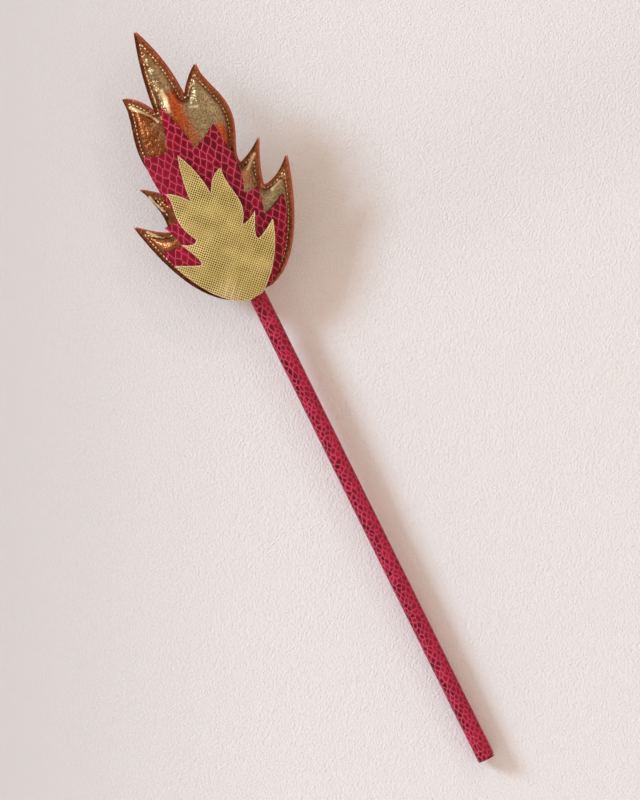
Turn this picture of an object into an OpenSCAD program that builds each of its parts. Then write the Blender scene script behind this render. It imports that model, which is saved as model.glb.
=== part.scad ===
// Toy magic wand: a leather-wrapped stick with a stuffed flame head and two petal layers.
// The stick stands along +Z, the flame faces -Y, and the origin is on the stick's axis at the grip.

/* [Stick] */
// Length of the stick below the flame head
stick_len = 274; // [200:1:320]
// Height of the grip's centre above the stick's lower end
grip_h = 60; // [40:1:80]
// Diameter of the wooden dowel
dowel_d = 8; // [6:0.5:10]
// Chamfer on both ends of the dowel
dowel_chamfer = 0.6; // [0.2:0.1:1.5]
// Length of the dowel that is pushed up into the head
dowel_insert = 70; // [40:1:80]
// Thickness of the leather wrapped round the dowel
sleeve_t = 0.75; // [0.5:0.05:1.2]
// Length of the wrap that reaches up into the head
sleeve_insert = 12; // [8:1:20]
// How much the head's seam squeezes the wrap's radius there
sleeve_tuck = 0.25; // [0.2:0.05:0.35]
// Width of the butt seam along the wrap
sleeve_seam_w = 0.4; // [0.2:0.1:0.8]
// Turn of that seam from the stick's right side towards the front
sleeve_seam_turn = 40; // [0:5:90]
// Thickness of the leather patch that closes the stick's lower end
end_patch_t = 0.9; // [0.6:0.1:1.5]

/* [Flame head] */
// Width of the flame across its two widest tips
flame_w = 89.5; // [80:0.5:100]
// Height of the flame from its foot to its top tip
flame_h = 154.5; // [140:0.5:170]
// Thickness of the flame's leather panels
panel_t = 0.9; // [0.6:0.1:1.4]
// Gap between the two panels along their seam
seam_gap = 0.1; // [0.05:0.05:0.3]
// Flat margin between the cut edge and the stuffing
seam_margin = 3.8; // [3.2:0.1:4.4]
// Distance of the stitching from the cut edge
stitch_inset = 2.2; // [1.6:0.1:2.6]
// Distance from one stitch to the next
stitch_pitch = 2.1; // [1.9:0.1:5]
// Diameter of the sewing thread
thread_d = 0.7; // [0.4:0.05:1]
// Depth of stuffing in front of and behind the stick
puff = 4.2; // [3.5:0.1:6]
// Share of the stuffing's height that is left at the upper tips
puff_top = 0.75; // [0.6:0.05:1]
// Distance over which the stuffing rises from the seam to its full height
puff_rise = 22; // [18:1:26]
// How far the back panel sits to the right of the front one
back_shift = 1; // [0:0.1:2]
// Clearance round the stick inside the head
stick_clear = 0.8; // [0.5:0.1:1.2]
// Clearance between the stuffing and what lies round it
wadding_clear = 1.2; // [1:0.1:1.6]

/* [Petals] */
// Thickness of the petal leather
petal_t = 0.9; // [0.6:0.1:1.2]
// Gap between one layer and the next at the petals' foot
layer_gap = 1.1; // [1:0.05:1.5]
// Clearance of the petals' rim in front of the flame panel's margin
rim_clear = 0.7; // [0.4:0.1:1.5]
// Length of the thread tack that holds each petal's foot
tack_len = 3.6; // [2:0.2:4]
// Clearance round a tack, and its height above the petal's lower edge
tack_clear = 0.6; // [0.4:0.1:1]

/* [Hidden] */
$fn = 64;

// Heights along the stick's axis
stick_bottom = -grip_h;
head_z = stick_len - grip_h;
stick_r = dowel_d / 2 + sleeve_t;
overlap = 1;

// Flame outlines, read at a width of 89.5 mm and a height of 154.5 mm: x to the right of the stick's
// axis, z above the head's foot. A flame is [valleys, tongues], with both lists running from the left
// foot over the top tip to the right foot. A tongue is [tip, left controls, right controls], where the
// controls of each side run from its valley up to the tip.
drawn_w = 89.5;
drawn_h = 154.5;
FLAME = [
    [[-8.5, 1.8], [-27, 50.3], [-20, 68], [-6, 111], [11.6, 112], [22.6, 67.2], [28.3, 51.3], [8.5, 1.8]],
    [[[-43, 61.5], [[-28, 8], [-38, 36]], [[-33, 52.5]]],
     [[-31.5, 78], [[-24.3, 64]], [[-23, 72]]],
     [[-18.5, 125], [[-20.5, 82], [-31, 96], [-16.5, 108]], [[-10.7, 122]]],
     [[3, 154.5], [[-4.3, 132.7]], [[12, 133]]],
     [[24.5, 125], [[17.8, 121]], [[18, 78], [46, 94], [20.5, 110]]],
     [[37.5, 75.3], [[30.5, 69.5]], [[29.7, 60.7]]],
     [[46.5, 60.5], [[36.6, 50.3]], [[28.5, 6.3], [40.5, 38]]]]];
RED = [
    [[-7.5, 2.3], [-24, 41], [-18.5, 55], [-9, 88.5], [4.7, 83.5], [17.5, 51.5], [22, 37], [7, 2.3]],
    [[[-35, 42.5], [[-24, 8], [-31, 27]], [[-29, 40]]],
     [[-28, 53.5], [[-25, 48]], [[-22, 53]]],
     [[-22, 92], [[-21.5, 64], [-23.5, 78]], [[-15, 88.5]]],
     [[-2.3, 112.3], [[-6, 96]], [[3.3, 98]]],
     [[19.5, 92], [[12, 86.7]], [[25, 66], [19, 80]]],
     [[26, 52.5], [[22, 49.8]], [[24.5, 44]]],
     [[35.7, 42.5], [[29.5, 37.5]], [[21, 7], [34, 29]]]]];
GOLD = [
    [[-4, -0.8], [-18.7, 28], [-15.9, 39.8], [-9.5, 59.5], [1.8, 58.5], [9.3, 36.5], [13.7, 26.6], [3, 0.2]],
    [[[-32, 33], [[-16, 4], [-25, 18]], [[-18.9, 26], [-22.5, 28.3]]],
     [[-24, 41.3], [[-18.4, 30.3], [-20.8, 35]], [[-16.8, 37.9], [-19.8, 38.3]]],
     [[-19.8, 69], [[-15.9, 42.5], [-21.5, 47], [-22.5, 57], [-16.5, 62]], [[-14, 66.4]]],
     [[-5, 84.5], [[-9, 72]], [[1.3, 71.5]]],
     [[12.3, 68.5], [[6.5, 68]], [[18.5, 48], [10, 56]]],
     [[18.5, 40.5], [[14, 36.8]], [[12, 28.5], [15, 33]]],
     [[25, 32.5], [[15.5, 26]], [[14, 8], [21.5, 20]]]]];
top_tongue = 3;
last_tongue = 6;

// Mesh counts: rows along a tongue, columns across it, and edge samples per side for the seam distance
tongue_rows = 8;
sheet_cols = 6;
edge_samples = 9;
// Share of a tongue's length at which its cut tip ends bluntly
tip_end = 0.985;
// Widest share of a tongue that one margin may take near the tip
margin_share = 0.42;
// Extra distance from the edge, past the margin's mesh line, at which the stuffing starts to rise
margin_ease = 0.8;

// Arch of the panels over the stick at the head's foot, and how far up it reaches
arch_h = stick_r + stick_clear;
arch_w = 8.3 * flame_w / drawn_w;
arch_top = 40 * flame_h / drawn_h;
// Full height of the stuffing above the seam, low down, and where it starts to thin towards the tips
crown = stick_r + puff;
thin_from = 60 * flame_h / drawn_h;
thin_over = 60 * flame_h / drawn_h;

// The stuffing's cut: how far its tips and valleys stay inside the panels, and where its foot starts,
// drawn at the outlines' own size
wadding_tip_share = 0.7;
wadding_valley_inset = 12;
wadding_foot_z = 19;
wadding_foot_x = 12;
wadding_least = 0.2;
channel_w = 7;

// Petal cup: depth at the foot and higher up, half width over which it falls back to the rim
neck_y = arch_h + panel_t + layer_gap;
cup_y = crown + panel_t + layer_gap;
rim_y = panel_t + seam_gap + layer_gap + rim_clear;
cup_rise = 9 * flame_h / drawn_h;
foot_w = 12 * flame_w / drawn_w;
wide_w = 40 * flame_w / drawn_w;
widen_over = 20 * flame_h / drawn_h;
narrow_from = 40 * flame_h / drawn_h;
narrow_rate = 0.18;
cup_power = 2.5;
lean_from = 60 * flame_h / drawn_h;
lean_rate = 0.045;
layer_step = petal_t + layer_gap;

// Feet of the petals, where their tacks are the hinge lines
red_foot_z = 2.3 * flame_h / drawn_h;
tack_z = red_foot_z + tack_clear;
red_tack_y = cup_front(0, tack_z) - layer_gap / 2;
gold_tack_y = red_tack_y + layer_step;

function lerp(a, b, t) = a * (1 - t) + b * t;
function clamp01(x) = min(1, max(0, x));
function reversed(list) = [for (i = [len(list) - 1:-1:0]) list[i]];
function fitted(points) = [for (p = points) [p[0] * flame_w / drawn_w, p[1] * flame_h / drawn_h]];
function bezier(p, t) =
    len(p) == 1 ? p[0] : bezier([for (i = [0:len(p) - 2]) lerp(p[i], p[i + 1], t)], t);

// The two sides of tongue i, at a share s of the way from valley to tip
function left_side(f, i) = fitted(concat([f[0][i]], f[1][i][1], [f[1][i][0]]));
function right_side(f, i) = fitted(concat([f[0][i + 1]], f[1][i][2], [f[1][i][0]]));

// Share of a row that a flat margin takes, measured square to the edge
function unit(p) = p / norm(p);
function margin_at(side, other, s, margin) =
    let (along = unit(bezier(side, min(1, s + 0.02)) - bezier(side, max(0, s - 0.02))),
         row = bezier(other, s) - bezier(side, s),
         across = abs(along[0] * row[1] - along[1] * row[0]))
    min(margin_share, margin / max(across, 0.01));
function column_share(k, m_left, m_right) =
    k == 0 ? 0 :
    k == sheet_cols ? 1 :
    m_left + (1 - m_left - m_right) * (k - 1) / (sheet_cols - 2);

// One row of points across tongue i; with no margin the columns are evenly spaced
function tongue_row(f, i, s, margin) =
    let (left = left_side(f, i),
         right = right_side(f, i),
         m_left = margin > 0 ? margin_at(left, right, s, margin) : 1 / sheet_cols,
         m_right = margin > 0 ? margin_at(right, left, s, margin) : 1 / sheet_cols)
    [for (k = [0:sheet_cols])
        lerp(bezier(left, s), bezier(right, s), column_share(k, m_left, m_right))];
function tongue_grid(f, i, margin) =
    [for (r = [0:tongue_rows]) tongue_row(f, i, tip_end * r / tongue_rows, margin)];

// Bay i of the trunk lies between the roots of the left tongue i and of its right partner
function bay_grid(f, i, margin) =
    let (left = tongue_row(f, i, 0, margin),
         right = reversed(tongue_row(f, last_tongue - i, 0, margin)),
         top = tongue_row(f, top_tongue, 0, margin),
         span = norm(top[sheet_cols] - top[0]))
    [for (k = [0:sheet_cols])
        [for (j = [0:sheet_cols]) lerp(left[k], right[k], norm(top[j] - top[0]) / span)]];

// A sheet's mesh: the grids of all tongues, then the bays, as x and z
function flame_grids(f, margin) = concat(
    [for (i = [0:last_tongue]) tongue_grid(f, i, margin)],
    [for (i = [0:top_tongue - 1]) bay_grid(f, i, margin)]);

// Corner points of the two triangles of each cell of a grid, wound to face the front
function cell(a, b, c, d) = [a, b, c, a, c, d];
function flat_list(lists) = [for (list = lists) for (p = list) p];
function front_cells(g) = flat_list(
    [for (r = [0:len(g) - 2]) for (c = [0:len(g[0]) - 2])
        cell(g[r][c], g[r + 1][c], g[r + 1][c + 1], g[r][c + 1])]);
function back_cells(g) = flat_list(
    [for (r = [0:len(g) - 2]) for (c = [0:len(g[0]) - 2])
        cell(g[r][c], g[r][c + 1], g[r + 1][c + 1], g[r + 1][c])]);
function wall_cells(front, back) = flat_list(
    [for (i = [0:len(front) - 2]) cell(front[i], back[i], back[i + 1], front[i + 1])]);
function column(g, c) = [for (row = g) row[c]];

// The cut edge of a tongue: up its left side, across the blunt tip and down its right side
function tongue_rim(g) = concat(
    column(g, 0),
    [for (c = [1:sheet_cols]) g[tongue_rows][c]],
    reversed([for (r = [0:tongue_rows - 1]) g[r][sheet_cols]]));

// A closed sheet from matching front and back grids
module sheet(fronts, backs) {
    corners = concat(
        flat_list([for (g = fronts) front_cells(g)]),
        flat_list([for (g = backs) back_cells(g)]),
        flat_list([for (i = [0:last_tongue]) wall_cells(tongue_rim(fronts[i]), tongue_rim(backs[i]))]),
        wall_cells(reversed(fronts[last_tongue + 1][0]), reversed(backs[last_tongue + 1][0])));
    polyhedron(points = corners, faces = [for (i = [0:3:len(corners) - 3]) [i, i + 1, i + 2]]);
}

// Distance from a point to the flame's sewn edge
function segment_gap(p, a, b) =
    let (t = clamp01((p - a) * (b - a) / max((b - a) * (b - a), 0.0001)))
    norm(p - lerp(a, b, t));
function sewn_edge() = concat(
    flat_list([for (i = [0:last_tongue]) concat(
        [for (k = [0:edge_samples - 1]) bezier(left_side(FLAME, i), k / edge_samples)],
        [for (k = [edge_samples:-1:1]) bezier(right_side(FLAME, i), k / edge_samples)])]),
    fitted([FLAME[0][last_tongue + 1]]));
function edge_gap(p, edge) = min([for (i = [0:len(edge) - 2]) segment_gap(p, edge[i], edge[i + 1])]);

// Height of a panel's inner face over the seam plane: a pillow that rises from the margin,
// and an arch over the stick at the foot
function crown_at(z) = crown * (1 - (1 - puff_top) * clamp01((z - thin_from) / thin_over));
function pillow(p, edge) =
    let (x = clamp01((edge_gap(p, edge) - seam_margin - margin_ease) / puff_rise))
    crown_at(p[1]) * (1 - pow(1 - x, 2));
function arch(p) = p[1] < arch_top ? arch_h * sqrt(max(0, 1 - pow(p[0] / arch_w, 2))) : 0;
function panel_height(p, edge) = max(pillow(p, edge), arch(p));

// Depth of the inner face of the red petal's cup, in front of the seam plane
function cup_half_width(z) =
    foot_w + (wide_w - foot_w) * (1 - exp(-z / widen_over)) - narrow_rate * max(0, z - narrow_from);
function cup_front(x, z) =
    let (middle = neck_y + (cup_y - neck_y) * (1 - exp(-z / cup_rise)) - lean_rate * max(0, z - lean_from))
    middle - (middle - rim_y) * pow(abs(x) / cup_half_width(z), cup_power);

// Grids of points at a depth in front of the seam plane
function placed(p, depth) = [p[0], -depth, head_z + p[1]];
function lifted(grids, depths, extra) =
    [for (g = [0:len(grids) - 1]) [for (r = [0:len(grids[g]) - 1]) [for (c = [0:sheet_cols])
        placed(grids[g][r][c], depths[g][r][c] + extra)]]];
function panel_depths(grids, edge) =
    [for (g = grids) [for (row = g) [for (p = row) panel_height(p, edge) + seam_gap / 2]]];
function cup_depths(grids) = [for (g = grids) [for (row = g) [for (p = row) cup_front(p[0], p[1])]]];

// A stuffed panel of the flame, in front of the seam plane
module flame_panel() {
    edge = sewn_edge();
    grids = flame_grids(FLAME, seam_margin);
    depths = panel_depths(grids, edge);
    sheet(lifted(grids, depths, panel_t), lifted(grids, depths, 0));
}

// A petal, with its inner face a number of layers in front of the red petal's
module petal(flame, layers) {
    grids = flame_grids(flame, 0);
    depths = cup_depths(grids);
    sheet(lifted(grids, depths, layers * layer_step + petal_t), lifted(grids, depths, layers * layer_step));
}

// Outline of the stuffing: the flame's own tongues cut short, with its valleys drawn in
function trunk_mid(i) = [0, FLAME[0][i][1]];
function drawn_in(i) =
    i == 0 ? [-wadding_foot_x, wadding_foot_z] :
    i == last_tongue + 1 ? [wadding_foot_x, wadding_foot_z] :
    FLAME[0][i] + wadding_valley_inset * unit(trunk_mid(i) - [0, wadding_valley_inset] - FLAME[0][i]);
function wadding_outline() =
    let (valleys = [for (i = [0:last_tongue + 1]) drawn_in(i)])
    [valleys, [for (i = [0:last_tongue])
        let (root = lerp(valleys[i], valleys[i + 1], 0.5),
             tip = lerp(FLAME[1][i][0], root, wadding_tip_share))
        [tip, [lerp(valleys[i], tip, 0.5)], [lerp(valleys[i + 1], tip, 0.5)]]]];

// Half thickness of the channel that the stick leaves in the stuffing
function channel(p) =
    let (beyond = clamp01((p[1] - dowel_insert - channel_w) / channel_w))
    (stick_r + wadding_clear) * exp(-pow(p[0] / channel_w, 4)) * (1 - beyond);

// One layer of stuffing, between the stick and a panel
module wadding_layer() {
    edge = sewn_edge();
    grids = flame_grids(wadding_outline(), 0);
    inner = [for (g = grids) [for (row = g) [for (p = row) channel(p) + wadding_clear / 2]]];
    outer = [for (g = [0:len(grids) - 1]) [for (r = [0:len(grids[g]) - 1]) [for (c = [0:sheet_cols])
        max(inner[g][r][c] + wadding_least, panel_height(grids[g][r][c], edge) - wadding_clear)]]];
    sheet(lifted(grids, outer, 0), lifted(grids, inner, 0));
}

// Stitch line along one side of a tongue, from just past the valley to where the tip gets narrow.
// On an S-shaped side, drawn with five points, it starts above the narrow waist at its root.
stitch_from = 0.1;
waist_from = 0.28;
stitch_to = 0.84;
stitch_fill = 0.72;
function stitch_start(side) = len(side) < 5 ? stitch_from : waist_from;
function stitch_point(side, other, s) =
    lerp(bezier(side, s), bezier(other, s), margin_at(side, other, s, stitch_inset));
function stitch_ends(side, other) =
    let (start = stitch_start(side),
         count = max(1, round(norm(bezier(side, stitch_to) - bezier(side, start)) / stitch_pitch)))
    [for (k = [0:count]) stitch_point(side, other, lerp(start, stitch_to, k / count))];
module stitch(a, b) {
    run = b - a;
    start = lerp(a, b, (1 - stitch_fill) / 2);
    translate([start[0], -panel_t - seam_gap / 2, head_z + start[1]])
        rotate([0, 90 - atan2(run[1], run[0]), 0])
            linear_extrude(height = norm(run) * stitch_fill)
                intersection() {
                    circle(d = thread_d);
                    translate([-thread_d, -thread_d])
                        square([2 * thread_d, thread_d]);
                }
}
module stitch_row() {
    for (i = [0:last_tongue]) {
        left = left_side(FLAME, i);
        right = right_side(FLAME, i);
        for (ends = [stitch_ends(left, right), stitch_ends(right, left)])
            for (k = [0:len(ends) - 2])
                stitch(ends[k], ends[k + 1]);
    }
}

// Thread tack that holds a petal's foot to the layer behind it
module tack(depth) {
    translate([-tack_len / 2, -depth, head_z + tack_z])
        rotate([0, 90, 0])
            cylinder(d = thread_d, h = tack_len);
}

// Wooden dowel, chamfered at both ends
module dowel_core() {
    r = dowel_d / 2;
    top = head_z + dowel_insert;
    bottom = stick_bottom + end_patch_t;
    color("BurlyWood")
        rotate_extrude()
            polygon([[0, bottom], [r - dowel_chamfer, bottom], [r, bottom + dowel_chamfer],
                     [r, top - dowel_chamfer], [r - dowel_chamfer, top], [0, top]]);
}

// Leather wrap with a butt seam along the front right of the stick
module stick_sleeve() {
    grip_len = stick_len - end_patch_t;
    length = grip_len + sleeve_insert;
    color("Crimson")
        translate([0, 0, stick_bottom + end_patch_t])
            difference() {
                union() {
                    cylinder(r = stick_r, h = grip_len);
                    cylinder(r = stick_r - sleeve_tuck, h = length);
                }
                translate([0, 0, -overlap])
                    cylinder(d = dowel_d, h = length + 2 * overlap);
                rotate([0, 0, -sleeve_seam_turn])
                    translate([0, -sleeve_seam_w / 2, -overlap])
                        cube([stick_r + overlap, sleeve_seam_w, length + 2 * overlap]);
            }
}

// Round leather patch with a softened rim that closes the lower end
module end_patch() {
    soft = end_patch_t / 2;
    color("FireBrick")
        translate([0, 0, stick_bottom])
            rotate_extrude() {
                square([stick_r - soft, end_patch_t]);
                translate([stick_r - soft, soft])
                    circle(r = soft);
            }
}

module front_panel() {
    color("Peru")
        flame_panel();
}

module back_panel() {
    color("Peru")
        translate([back_shift, 0, 0])
            mirror([0, 1, 0])
                flame_panel();
}

module front_wadding() {
    color("Ivory")
        wadding_layer();
}

module back_wadding() {
    color("Ivory")
        translate([back_shift, 0, 0])
            mirror([0, 1, 0])
                wadding_layer();
}

module front_stitches() {
    color("DarkOrange")
        stitch_row();
}

module back_stitches() {
    color("DarkOrange")
        translate([back_shift, 0, 0])
            mirror([0, 1, 0])
                stitch_row();
}

module red_tack() {
    color("Crimson")
        tack(red_tack_y);
}

module red_petal() {
    color("Crimson")
        petal(RED, 0);
}

module gold_tack() {
    color("Goldenrod")
        tack(gold_tack_y);
}

module gold_petal() {
    color("Khaki")
        petal(GOLD, 1);
}

dowel_core();
stick_sleeve();
end_patch();
front_panel();
back_panel();
front_wadding();
back_wadding();
front_stitches();
back_stitches();
red_tack();
red_petal();
gold_tack();
gold_petal();
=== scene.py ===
"""Dressed model of a toy magic wand: a leather-wrapped stick with a stuffed flame head.

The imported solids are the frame. This script lays finely modelled leather over the soft ones,
keeps the hidden ones, and gives every surface a procedural finish.
"""

import logging
import math
from dataclasses import dataclass, field
from enum import Enum
from functools import partial
from typing import Any, Callable

import bmesh
import bpy
import numpy as np
from mathutils import Matrix, Vector, noise


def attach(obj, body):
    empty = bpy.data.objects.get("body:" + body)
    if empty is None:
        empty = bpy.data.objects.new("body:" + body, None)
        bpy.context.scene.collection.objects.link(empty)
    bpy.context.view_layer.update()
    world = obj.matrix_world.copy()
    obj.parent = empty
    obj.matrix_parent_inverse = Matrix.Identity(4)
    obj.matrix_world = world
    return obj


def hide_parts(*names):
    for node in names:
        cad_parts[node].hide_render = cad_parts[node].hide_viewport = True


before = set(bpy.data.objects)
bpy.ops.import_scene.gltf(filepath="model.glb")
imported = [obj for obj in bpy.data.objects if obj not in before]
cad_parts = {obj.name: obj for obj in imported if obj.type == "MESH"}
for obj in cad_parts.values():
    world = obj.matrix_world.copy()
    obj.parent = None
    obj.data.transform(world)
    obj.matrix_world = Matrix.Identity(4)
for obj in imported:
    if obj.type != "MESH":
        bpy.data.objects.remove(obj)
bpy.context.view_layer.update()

LOG = logging.getLogger("wand")
MM = 0.001
HEAD_FOOT = 214.0  # mm from the grip's middle up to the flame's foot
PICTURE_RIGHT = (0.9, 0.0, -0.44)  # the wand leans left in the picture
PALE_ROOM = "E5DAD5"
EASED = {"interpolation_type": "SMOOTHSTEP"}  # for a Map Range node
COLOURS = {"output": 2, "data_type": "RGBA"}  # for a Mix node

Point = tuple[float, float]
Place = Callable[[float, float], Point]
Colour = tuple[float, float, float, float]
NodeAdder = Callable[..., bpy.types.NodeSocket]


class Body(Enum):
    """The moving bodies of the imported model."""

    WAND = "wand"
    RED = "red_layer"
    GOLD = "gold_layer"


class Slot(Enum):
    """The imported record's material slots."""

    RED = "red_leather"
    COPPER = "copper_leather"
    GOLD = "gold_leather"
    COPPER_THREAD = "copper_thread"


class Side(Enum):
    """The two faces of the stuffed head, as the sign of their Y."""

    FRONT = -1
    BACK = 1


# Shader helpers


def linear(hex_colour: str) -> Colour:
    """Turns an sRGB hex colour into the linear colour that a shader takes.

    Args:
        hex_colour: the colour as six hex digits.

    Returns:
        The linear red, green, blue and an alpha of 1.
    """
    parts = [int(hex_colour[i : i + 2], 16) / 255 for i in (0, 2, 4)]
    red, green, blue = (c / 12.92 if c <= 0.04045 else ((c + 0.055) / 1.055) ** 2.4 for c in parts)
    return (red, green, blue, 1.0)


def add_node(
    tree: bpy.types.NodeTree,
    kind: str,
    inputs: dict[str | int, Any] | None = None,
    output: str | int = 0,
    **settings: Any,
) -> bpy.types.NodeSocket | None:
    """Adds a shader node with its settings, and links or fills its inputs.

    Args:
        tree: the node tree that takes the node.
        kind: the node's Blender type, after "ShaderNode".
        inputs: a socket to link from, a constant or a hex colour, for each input by name or number.
        output: the output that is wanted, by name or number.
        settings: the node's own properties.

    Returns:
        That output, or None where the node has no outputs.
    """
    node = tree.nodes.new("ShaderNode" + kind)
    for name, value in settings.items():
        setattr(node, name, value)
    for key, value in (inputs or {}).items():
        if isinstance(value, bpy.types.NodeSocket):
            tree.links.new(value, node.inputs[key])
        else:
            node.inputs[key].default_value = linear(value) if isinstance(value, str) else value
    return node.outputs[output] if node.outputs else None


def new_material(name: str) -> tuple[bpy.types.Material, NodeAdder]:
    """Makes an empty node material.

    Args:
        name: the material's name.

    Returns:
        The material, and add_node for its tree.
    """
    material = bpy.data.materials.new(name)
    material.use_nodes = True
    material.node_tree.nodes.clear()
    return material, partial(add_node, material.node_tree)


def seen_or_mirrored(node: NodeAdder) -> bpy.types.NodeSocket:
    """Tells which rays show the pale room: the camera's, and those off metal or through glass.

    Args:
        node: add_node for the tree that needs it.

    Returns:
        A socket that is 1 for such rays.
    """
    shown = node("LightPath", None, "Is Camera Ray")
    for ray in ("Is Glossy Ray", "Is Transmission Ray"):
        shown = node("Math", {0: shown, 1: node("LightPath", None, ray)}, operation="MAXIMUM")
    return shown


# Finishes


@dataclass(frozen=True)
class EmbossedLeather:
    """Faux leather pressed with reptile scales: dark, glossy pads between paler, matt grooves."""

    name: str
    scale_w: float  # mm across a scale
    scale_l: float  # mm along a scale
    unevenness: float = 0.4
    wobble: float = 0.5  # mm that the grooves wander
    wobble_l: float = 7.0  # mm from one such bend to the next
    pad_dark: str = "5C0010"
    pad_light: str = "A2122E"
    groove: str = "CC5A72"
    groove_w: float = 0.055
    gloss: float = 0.15
    grain: float = 0.5  # mm
    relief: float = 0.12  # mm from groove to pad
    plain_from: float = 0.0  # mm, the place across where the pressing is strongest
    plain_to: float = 0.0  # mm, the place across where the pads have turned to their plain light colour
    plain: float = 0.0  # how far they have turned plain there

    def build(self) -> bpy.types.Material:
        """Builds the material on the piece's own UV map, which is in metres.

        Returns:
            The material.
        """
        material, node = new_material(self.name)
        place = node("TexCoord", None, "UV")
        bends = {"Vector": place, "Scale": 1 / (self.wobble_l * MM), "Detail": 1.0}
        drift = node("TexNoise", bends, "Color", noise_dimensions="2D")
        centred = node("VectorMath", {0: drift, 1: (0.5, 0.5, 0.5)}, operation="SUBTRACT")
        shift = node("VectorMath", {0: centred, "Scale": 2 * self.wobble * MM}, operation="SCALE")
        moved = node("VectorMath", {0: place, 1: shift}, operation="ADD")
        lattice = node(
            "Mapping",
            {
                "Vector": moved,
                "Rotation": (0, 0, math.radians(45)),
                "Scale": (math.sqrt(2) / (self.scale_w * MM), math.sqrt(2) / (self.scale_l * MM), 1),
            },
        )
        cells = {"Vector": lattice, "Scale": 1.0, "Randomness": self.unevenness}
        flat = {"voronoi_dimensions": "2D"}
        gap = node("TexVoronoi", cells, "Distance", feature="DISTANCE_TO_EDGE", **flat)
        tint = node("TexVoronoi", cells, "Color", feature="F1", **flat)
        groove_side = {"Value": gap, "From Min": self.groove_w * 0.25, "From Max": self.groove_w}
        pad = node("MapRange", groove_side, **EASED)
        deep = node("MapRange", {"Value": gap, "From Min": self.groove_w * 0.6, "From Max": 0.5})
        each = node("SeparateColor", {0: tint})
        darkness = node("Math", {0: each, 1: 0.55, 2: deep}, operation="MULTIPLY_ADD", use_clamp=True)
        pad_colour = node("Mix", {0: darkness, 6: self.pad_light, 7: self.pad_dark}, **COLOURS)
        pressed = node("Mix", {0: pad, 6: self.groove, 7: pad_colour}, **COLOURS)
        # Towards plain_to the pads turn to their plain light colour.
        worn = node(
            "MapRange",
            {
                "Value": node("SeparateXYZ", {0: moved}),
                "From Min": self.plain_from * MM,
                "From Max": self.plain_to * MM,
                "To Max": self.plain,
            },
            **EASED,
        )
        colour = node("Mix", {0: worn, 6: pressed, 7: self.pad_light}, **COLOURS)
        grain = node("TexNoise", {"Vector": place, "Scale": 1 / (self.grain * MM), "Detail": 2.0})
        height = node("Math", {0: grain, 1: 0.25, 2: pad}, operation="MULTIPLY_ADD")
        bump = node("Bump", {"Height": height, "Distance": self.relief * MM, "Strength": 0.8})
        rough = node("MapRange", {"Value": pad, "To Min": 0.55, "To Max": 0.36})
        shader = node(
            "BsdfPrincipled",
            {"Base Color": colour, "Roughness": rough, "Specular IOR Level": self.gloss, "Normal": bump},
        )
        node("OutputMaterial", {0: shader})
        return material


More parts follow.
